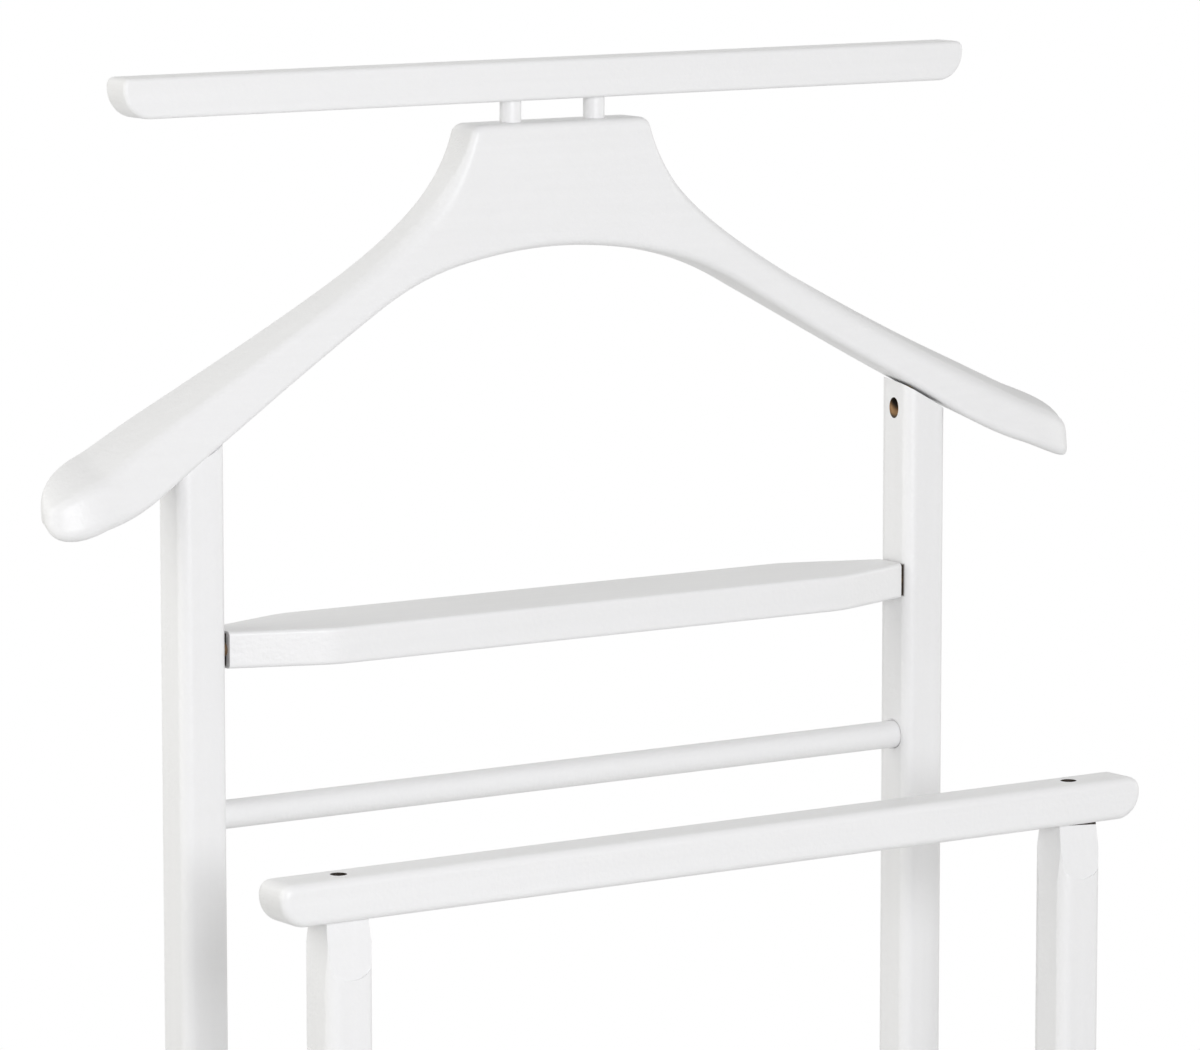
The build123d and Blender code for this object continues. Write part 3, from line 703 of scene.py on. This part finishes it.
# %% [markdown]
# ## The hanger
# The hanger is one shaped piece of wood. A maker saws its front outline from a thick board, hollows the
# front and back so that the arms sweep forward, and then rounds every edge, most of all at the tips.
# Carving it from a block would need a sculptor's hand in Blender; here the same three steps are formulas.
# The outline is a closed line of points, the front and back are smooth sheets over it, and the rounded edge
# is a profile carried along it. The real one is finished by hand, so its two arms differ a little: the left
# ridge is crisp and the right one soft, and the right arm is planed along its lower edge. Sizes that differ
# are pairs, left and right.

# %% Hanger sizes
# Millimetres, as in the drawing. Ranges, which give where a change starts and ends, are pairs too.
TOP_Z = 1057.2
BLOCK_FLAT = 35.0
BLOCK_CORNER = 5.0
NECK_ANGLE = math.radians(16.5)
NECK_PULL = 38.0
ARM_PULL = (105.0, 991.5)
TIP = (226.5, 937.6)
TOP_FALL = (15.0, 9.0)
TOP_RISE = 4.0
TOP_TRIM = (0.0, 1.8)
TOP_TRIM_FROM = (90.0, 170.0)
ARCH_Z = 1009.4
ARCH_RADIUS = 172.0
ARM_ANGLE = math.radians(28.0)
UNDER_SLOPE = 0.5338
UNDER_SLOPE_FALL = 0.0717
TIP_LIFT_X = (184.0, 172.0)
TIP_LIFT = (0.0110, 0.0046)
UNDER_TRIM = (-0.35, 1.5)
UNDER_TRIM_FROM = (110.0, 175.0)
TRIM_DEPTH = (-0.1, 0.25)
CROWN_LIFT = 1.5
CROWN_RANGE = (90.0, 152.0)
HIP_LIFT = 1.4
HIP_X = 64.0
HIP_WIDTH = 28.0
SEAT_LIFT = (0.0, 0.5)
SEAT_X = 142.0
SEAT_WIDTH = 20.0
REAR_Y = 49.0
FALL_REACH = 34.0
BLOCK_FRONT_Y = 50.5
BLOCK_BACK_Y = 68.0
TIP_FRONT_Y = 29.5
TIP_BACK_Y = 52.5
FRONT_LEAN = 0.20
BACK_LEAN = 0.05
LEAN_FROM = 50.0
LEAN_X = 168.0
LEAN_MOST = 1.4
HALF_ARM = 11.0
ARCH_END_X = ARCH_RADIUS * math.sin(ARM_ANGLE)


def smooth(x, low, high):
    """0 below low, 1 above high, and between them the smooth rise 3 t^2 - 2 t^3."""
    t = np.clip((x - low) / (high - low), 0.0, 1.0)
    return t * t * (3.0 - 2.0 * t)


def either(x, pair):
    """The first of a pair on the left arm, the second on the right, and a smooth change over the block."""
    return pair[0] + (pair[1] - pair[0]) * smooth(x, -BLOCK_FLAT, BLOCK_FLAT)


def fall_at(y):
    """How far a place lies towards the front: 0 in the posts' plane, 1 at the full reach in front of it."""
    return (REAR_Y - y) / FALL_REACH


def underside(x, fall):
    """Height of the underside: a round arch with full hips, then a straight fall that lifts at the tips.

    The right arm is planed a little more along its lower front edge: a dark wedge opens over its post."""
    out = np.abs(x)
    arch = ARCH_Z - ARCH_RADIUS + np.sqrt(ARCH_RADIUS ** 2 - np.minimum(out, ARCH_END_X) ** 2)
    drop = np.maximum(out - ARCH_END_X, 0.0) * (UNDER_SLOPE + UNDER_SLOPE_FALL * fall)
    crown = CROWN_LIFT * (1.0 - smooth(out, *CROWN_RANGE))
    hips = HIP_LIFT * np.exp(-((out - HIP_X) / HIP_WIDTH) ** 2)
    seat = either(x, SEAT_LIFT) * np.exp(-((out - SEAT_X) / SEAT_WIDTH) ** 2)
    trim = either(x, UNDER_TRIM) * smooth(out, *UNDER_TRIM_FROM)
    front = smooth(fall, *TRIM_DEPTH)
    tip = either(x, TIP_LIFT) * np.maximum(out - either(x, TIP_LIFT_X), 0.0) ** 2
    return arch - drop + crown + hips + tip + (seat + trim) * front


def mid_height(x):
    """Height of the middle of an arm, about which its faces lean."""
    return underside(x, 0.0) + HALF_ARM


def sheet_y(x, z, middle, tip, lean):
    """A hollow sheet: Y changes with the square of the distance from the middle, and leans with height.

    The lean grows evenly along the arm."""
    curve = middle + (tip - middle) * (x / TIP[0]) ** 2
    arm = np.clip((np.abs(x) - LEAN_FROM) / (LEAN_X - LEAN_FROM), 0.0, LEAN_MOST)
    return curve + lean * arm * (z - mid_height(x))


def front_y(x, z):
    """The front sheet."""
    return sheet_y(x, z, BLOCK_FRONT_Y, TIP_FRONT_Y, FRONT_LEAN)


def back_y(x, z):
    """The back sheet."""
    return sheet_y(x, z, BLOCK_BACK_Y, TIP_BACK_Y, BACK_LEAN)


print("front sheet at the tip", round(float(front_y(*np.array(TIP))), 1))

# %% Hanger outline
TOP_STEPS = 26
CORNER_STEPS = 10
ARM_STEPS = 130
FINE_STEPS = 400
ARM_END_X = 204.0


def bezier(t, first, pull, second_pull, last):
    """A cubic curve that leaves first towards pull and arrives at last from second_pull.

    With t from 0 to 1 and s = 1 - t, the four points weigh s^3, 3 s^2 t, 3 s t^2 and t^3."""
    t = t[:, None]
    s = 1.0 - t
    first, pull, second_pull, last = (np.array(p, float) for p in (first, pull, second_pull, last))
    return s ** 3 * first + 3 * s * s * t * pull + 3 * s * t * t * second_pull + t ** 3 * last


def arm_top(t, fall, side):
    """The top edge from the block's corner to the tip.

    Fall lowers it in front and lifts it behind, by the weight of the curve's last two points."""
    corner = np.array([
        BLOCK_FLAT + BLOCK_CORNER * math.cos(NECK_ANGLE),
        TOP_Z - BLOCK_CORNER * (1.0 - math.sin(NECK_ANGLE)),
    ])
    pull = corner + NECK_PULL * np.array([math.sin(NECK_ANGLE), -math.cos(NECK_ANGLE)])
    points = bezier(t, corner, pull, ARM_PULL, TIP)
    lowered = TOP_FALL[0] if side < 0 else TOP_FALL[1]
    weight = 3 * (1 - t) * t * t + t ** 3
    points[:, 1] -= fall * np.where(fall > 0.0, lowered, TOP_RISE) * weight
    return points


def half_top(sheet, side):
    """One half of the top edge on one of the two sheets, from the middle to where the tip begins.

    Side is -1 for the left half and 1 for the right."""
    flat = np.linspace(0.0, BLOCK_FLAT, TOP_STEPS, endpoint=False)
    flat = np.stack([flat, np.full_like(flat, TOP_Z)], -1)
    turn = np.linspace(math.pi / 2, NECK_ANGLE, CORNER_STEPS, endpoint=False)
    across = BLOCK_FLAT + BLOCK_CORNER * np.cos(turn)
    corner = np.stack([across, TOP_Z - BLOCK_CORNER + BLOCK_CORNER * np.sin(turn)], -1)
    fine = np.linspace(0.0, 1.0, FINE_STEPS)
    last = np.interp(ARM_END_X, arm_top(fine, np.zeros_like(fine), side)[:, 0], fine)
    t = np.linspace(0.0, last, ARM_STEPS)
    arm = arm_top(t, np.zeros_like(t), side)
    arm = arm_top(t, fall_at(sheet(side * arm[:, 0], arm[:, 1])), side)
    arm[:, 1] -= either(side * arm[:, 0], TOP_TRIM) * smooth(arm[:, 0], *TOP_TRIM_FROM)
    return np.concatenate([flat, corner, arm]) * np.array([side, 1.0])


def outline(sheet):
    """The top and the bottom edge on one sheet, with the same X point by point, from left to right."""
    top = np.concatenate([half_top(sheet, -1.0)[:0:-1], half_top(sheet, 1.0)])
    x = top[:, 0]
    under = np.stack([x, underside(x, fall_at(sheet(x, underside(x, 0.0))))], -1)
    return top, under


upper, lower = outline(front_y)
middle = len(upper) // 2
print("outline points", len(upper), "height of the block", round(upper[middle][1] - lower[middle][1], 1))

# %% [markdown]
# The rounding differs along the edge, as a hand or a cutter leaves it: small along the block's top and the
# underside, fuller down the neck and along the right arm, and full round the tips. It is drawn from the
# outline towards the inside of the piece, so the front sheet ends where the rounding begins. Each arm ends
# like a thumb: its last section moves on along the arm and shrinks to a point, by the law of a rounded
# square.

# %% Hanger surface
ROUND_BLOCK = 3.0
ROUND_NECK = 6.0
ROUND_BACK = 3.4
ROUND_UNDER = 3.2
ROUND_ARM = (2.4, 7.0)
ROUND_TIP_TOP = (4.2, 6.0)
ROUND_TIP_UNDER = (6.5, 4.0)
ROUND_STEPS = 9
SHEET_STEPS = 10
TIP_ROUND_FROM = 178.0
NECK_ROUND_FROM = (39.0, 56.0)
ARM_ROUND_FROM = (70.0, 120.0)
STRAIGHT_FROM = (70.0, 130.0)


def inward(points, across, side):
    """Unit directions into the piece: square to the edge on the block, and right across it on the arms."""
    along = np.gradient(points, axis=0)
    square = np.stack([along[:, 1], -along[:, 0]], -1) * side
    square /= np.linalg.norm(square, axis=1, keepdims=True)
    straight = (across - points) / np.linalg.norm(across - points, axis=1, keepdims=True)
    mixed = square + (straight - square) * smooth(np.abs(points[:, :1]), *STRAIGHT_FROM)
    return mixed / np.linalg.norm(mixed, axis=1, keepdims=True)


def rounding(points, side, outward):
    """The radius of the rounding at each point of the upper (side 1) or lower (side -1) edge of a sheet.

    Outward is -1 for the front sheet and 1 for the back one."""
    x = points[:, 0]
    out = np.abs(x)
    fullest = ROUND_NECK if outward < 0 else ROUND_BACK
    neck = ROUND_BLOCK + (fullest - ROUND_BLOCK) * smooth(out, *NECK_ROUND_FROM)
    above = neck + (either(x, ROUND_ARM) - fullest) * smooth(out, *ARM_ROUND_FROM)
    plain = above if side > 0 else ROUND_UNDER
    tip = either(x, ROUND_TIP_TOP if side > 0 else ROUND_TIP_UNDER)
    return plain + (tip - plain) * smooth(out, TIP_ROUND_FROM, ARM_END_X)


def rounded_edge(points, across, side, sheet, outward):
    """Rows of points from the sheet round to the edge's wall: a quarter circle drawn in from the outline."""
    angle = np.linspace(0.0, math.pi / 2, ROUND_STEPS)[:, None]
    radius = rounding(points, side, outward)[None, :]
    inset = (radius * (1.0 - np.sin(angle)))[..., None] * inward(points, across, side)[None]
    flat = points[None] + inset
    y = sheet(flat[..., 0], flat[..., 1]) - outward * radius * (1.0 - np.cos(angle))
    return np.stack([flat[..., 0], y, flat[..., 1]], -1)


def hanger_shell():
    """The closed skin: front sheet, edge rounded over to the back, and back sheet, as one ring of rows."""
    sides = []
    for sheet, outward in ((front_y, -1.0), (back_y, 1.0)):
        upper, lower = outline(sheet)
        above = rounded_edge(upper, lower, 1.0, sheet, outward)
        below = rounded_edge(lower, upper, -1.0, sheet, outward)
        sides.append((above, below, sheet))
    share = np.linspace(0.0, 1.0, SHEET_STEPS + 1)[1:-1, None, None]
    rows = []
    for upper, lower, sheet in sides:
        inner = lower[0] + (upper[0] - lower[0]) * share
        inner[..., 1] = sheet(inner[..., 0], inner[..., 2])
        rows.append(np.concatenate([lower[::-1], inner, upper]))
    return np.concatenate([rows[0], rows[1][::-1]])


TIP_STEPS = 16
LEFT_TIP = (2.0, 2.6, 2.4)
RIGHT_TIP = (2.1, 3.6, 4.5)


def thumb(last, before, depth, top, bottom):
    """The round end of an arm: the last section carried outward and shrunk to a point.

    On the way out, t goes from 0 to 1, and the size is (1 - t^p)^(1/p): a quarter circle where p is 2, and a
    squarer end where it is more. Depth, upper half and lower half have their own p."""
    centre = (last.min(0) + last.max(0)) / 2
    step = centre - (before.min(0) + before.max(0)) / 2
    reach = step * (np.sign(centre[0]) * TIP[0] - centre[0]) / step[0]
    out = np.sin(np.linspace(0.0, math.pi / 2, TIP_STEPS + 1))[1:-1, None, None]
    upright = np.where(last[:, 2] > centre[2], top, bottom)
    power = np.stack([np.full_like(upright, depth), np.full_like(upright, depth), upright], -1)
    sections = centre + reach * out + (last - centre) * (1.0 - out ** power) ** (1.0 / power)
    return np.swapaxes(sections, 0, 1), centre + reach


shell = hanger_shell()
print("hanger rows and columns", shell.shape[:2])

# %% Hanger piece
CUBIC_CM = 1.0e-6


def closed_shell(rows):
    """A ring of rows with both round ends, as one closed surface that meets in one point at each tip."""
    left, left_point = thumb(rows[:, 0], rows[:, 1], *LEFT_TIP)
    right, right_point = thumb(rows[:, -1], rows[:, -2], *RIGHT_TIP)
    rows = np.concatenate([left[:, ::-1], rows, right], axis=1)
    index = np.arange(rows.shape[0] * rows.shape[1]).reshape(rows.shape[:2])
    faces = np.concatenate([
        grid_faces(index.T, True),
        fan_faces(index[::-1, 0], index.size),
        fan_faces(index[:, -1], index.size + 1),
    ])
    points = np.concatenate([rows.reshape(-1, 3), [left_point, right_point]]) * MM
    return points, outward_faces(points, faces)


points, faces = closed_shell(shell)
hanger = mesh_piece("hanger_shape", points, faces)
hanger.data.materials.append(finishes["paint_crosswise"])
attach(hanger, "frame")
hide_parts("hanger")
low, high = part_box("hanger")
print("drawn hanger", [round(v / MM, 1) for v in (*low, *high)])
print("shaped hanger", [round(v / MM, 1) for v in (*points.min(0), *points.max(0))])
print("volume", round(volume(points, faces) / CUBIC_CM, 1), "cm3")

# %% [markdown]
# ## The screws
# A wood screw is a turned shape with two departures: its thread winds round the shank, and a cross is
# pressed into its head. Both are functions of the height and the angle round the axis, so a single grid of
# points makes the whole screw. The screws stand exactly where the frame has plain ones.

# %% Screw surface
# Millimetres. A screw's size is its length, the width of its shank and the width of its head.
HANGER_SCREW = (19.0, 3.2, 5.0)
RAIL_SCREW = (40.0, 4.0, 5.2)
SHOE_SCREW = (34.0, 4.0, 7.0)
FOOT_SCREW = (48.0, 4.0, 7.0)
SCREW_SPOKES = 48
PITCH_SHARE = 0.45
STEPS_PER_TURN = 9
THREAD_ROOT = 0.70
THREAD_FLANK = (0.15, 0.75)
HEAD_RIM = 0.4
SCREW_POINT = 4.0
POINT_RADIUS = 0.3
CROSS_WIDTH = 0.9
CROSS_WALL = (0.35, 0.65)
CROSS_SPAN = 0.55
CROSS_END = (0.32, 0.52)
CROSS_DEPTH = 1.6
HEAD_RINGS = 16
PLAIN_NECK = 2.0


def wood_screw(length, shank, head):
    """A countersunk screw along +Z from the flat of its head: radius and height over rings and spokes.

    The thread is a triangle wave of height minus angle; the cross is a dip where one of the two distances
    from the head's middle lines is small."""
    core = shank / 2.0
    rim = head / 2.0
    neck = HEAD_RIM + rim - core
    pitch = shank * PITCH_SHARE
    turns = (length - neck) / pitch
    body = np.linspace(neck, length, int(turns * STEPS_PER_TURN))
    heights = np.concatenate([np.zeros(HEAD_RINGS), [HEAD_RIM], body])
    flat = np.linspace(rim / HEAD_RINGS, rim, HEAD_RINGS)
    radii = np.concatenate([flat, [rim], np.full_like(body, core)])
    angle = np.linspace(0.0, math.tau, SCREW_SPOKES, endpoint=False)[None, :]
    z = np.repeat(heights[:, None], SCREW_SPOKES, axis=1)
    r = np.repeat(radii[:, None], SCREW_SPOKES, axis=1)
    wave = np.abs((z / pitch - angle / math.tau) % 1.0 * 2.0 - 1.0)
    cut = smooth(z, neck, neck + PLAIN_NECK) * (1.0 - THREAD_ROOT) * smooth(wave, *THREAD_FLANK)
    taper = np.clip((length - z) / SCREW_POINT, 0.0, 1.0)
    threaded = (POINT_RADIUS + (core - POINT_RADIUS) * taper) * (1.0 - cut)
    r = np.where(z > neck, threaded, r)
    across = np.abs(r * np.cos(angle))
    along = np.abs(r * np.sin(angle))
    span = head * CROSS_SPAN
    arm = 1.0 - smooth(np.minimum(across, along), *(CROSS_WIDTH * wall for wall in CROSS_WALL))
    reach = 1.0 - smooth(np.maximum(across, along), *(span * end for end in CROSS_END))
    top = (np.arange(len(heights)) < HEAD_RINGS)[:, None]
    z = z + np.where(top, CROSS_DEPTH * arm * reach, 0.0)
    points = np.stack([r * np.cos(angle), r * np.sin(angle), z], -1).reshape(-1, 3)
    index = np.arange(len(points)).reshape(len(heights), SCREW_SPOKES)
    poles = np.array([[0.0, 0.0, CROSS_DEPTH], [0.0, 0.0, length]])
    start = len(points)
    faces = [grid_faces(index, True), fan_faces(index[0][::-1], start), fan_faces(index[-1], start + 1)]
    return np.concatenate([points, poles]), np.concatenate(faces)


points, faces = wood_screw(*FOOT_SCREW)
print("foot screw faces", len(faces), "volume", round(volume(points, faces), 1), "mm3")

# %% Screw places
def aimed(start, along):
    """A place whose +Z runs along a direction, from a start point in metres."""
    turn = Vector(along).to_track_quat("Z", "Y").to_matrix().to_4x4()
    return Matrix.Translation(Vector(start)) @ turn


def screws(name, size, starts):
    """One piece with a screw at each start and its mirror image; a start is a point and a direction."""
    points, faces = wood_screw(*size)
    faces = outward_faces(points, faces)
    all_points = []
    all_faces = []
    for (x, y, z), (u, v, w) in starts:
        for side in (1.0, -1.0):
            place = np.array(aimed((side * x, y, z), (side * u, v, w)))
            all_faces.append(np.where(faces < 0, -1, faces + len(points) * len(all_points)))
            all_points.append(points * MM @ place[:3, :3].T + place[:3, 3])
    made = np.concatenate(all_points)
    piece = mesh_piece(name + "_threaded", made, np.concatenate(all_faces))
    piece.data.materials.append(finishes["yellow_zinc"])
    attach(piece, "frame")
    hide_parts(name)
    low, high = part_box(name)
    off = max(np.abs(made.min(0) - low).max(), np.abs(made.max(0) - high).max())
    print(name, "screws", len(all_points), "largest change of its box in mm", round(off / MM, 2))


HANGER_SCREW_SINK = 0.0050
RAIL_HEAD_Z = 0.8027
FOOT_HEAD_Z = 0.0118
POST_OUTER_X = 0.1704
SHOE_HEAD_SINK = 0.0004

pocket_start = tuple(m + a * HANGER_SCREW_SINK for m, a in zip(POCKET_MOUTH, POCKET_AXIS))
screws("hanger_screws", HANGER_SCREW, [(pocket_start, POCKET_AXIS)])
screws("front_rail_screws", RAIL_SCREW, [((POST_X, -POST_Y, RAIL_HEAD_Z), (0.0, 0.0, -1.0))])
screws("shoe_rod_screws", SHOE_SCREW, [
    ((POST_OUTER_X - SHOE_HEAD_SINK, -POST_Y, SHOE_ROD_FRONT_Z), (-1.0, 0.0, 0.0)),
    ((POST_OUTER_X - SHOE_HEAD_SINK, POST_Y, SHOE_ROD_REAR_Z), (-1.0, 0.0, 0.0)),
])
screws("foot_screws", FOOT_SCREW, [
    ((POST_X, -POST_Y, FOOT_HEAD_Z), (0.0, 0.0, 1.0)),
    ((POST_X, POST_Y, FOOT_HEAD_Z), (0.0, 0.0, 1.0)),
])
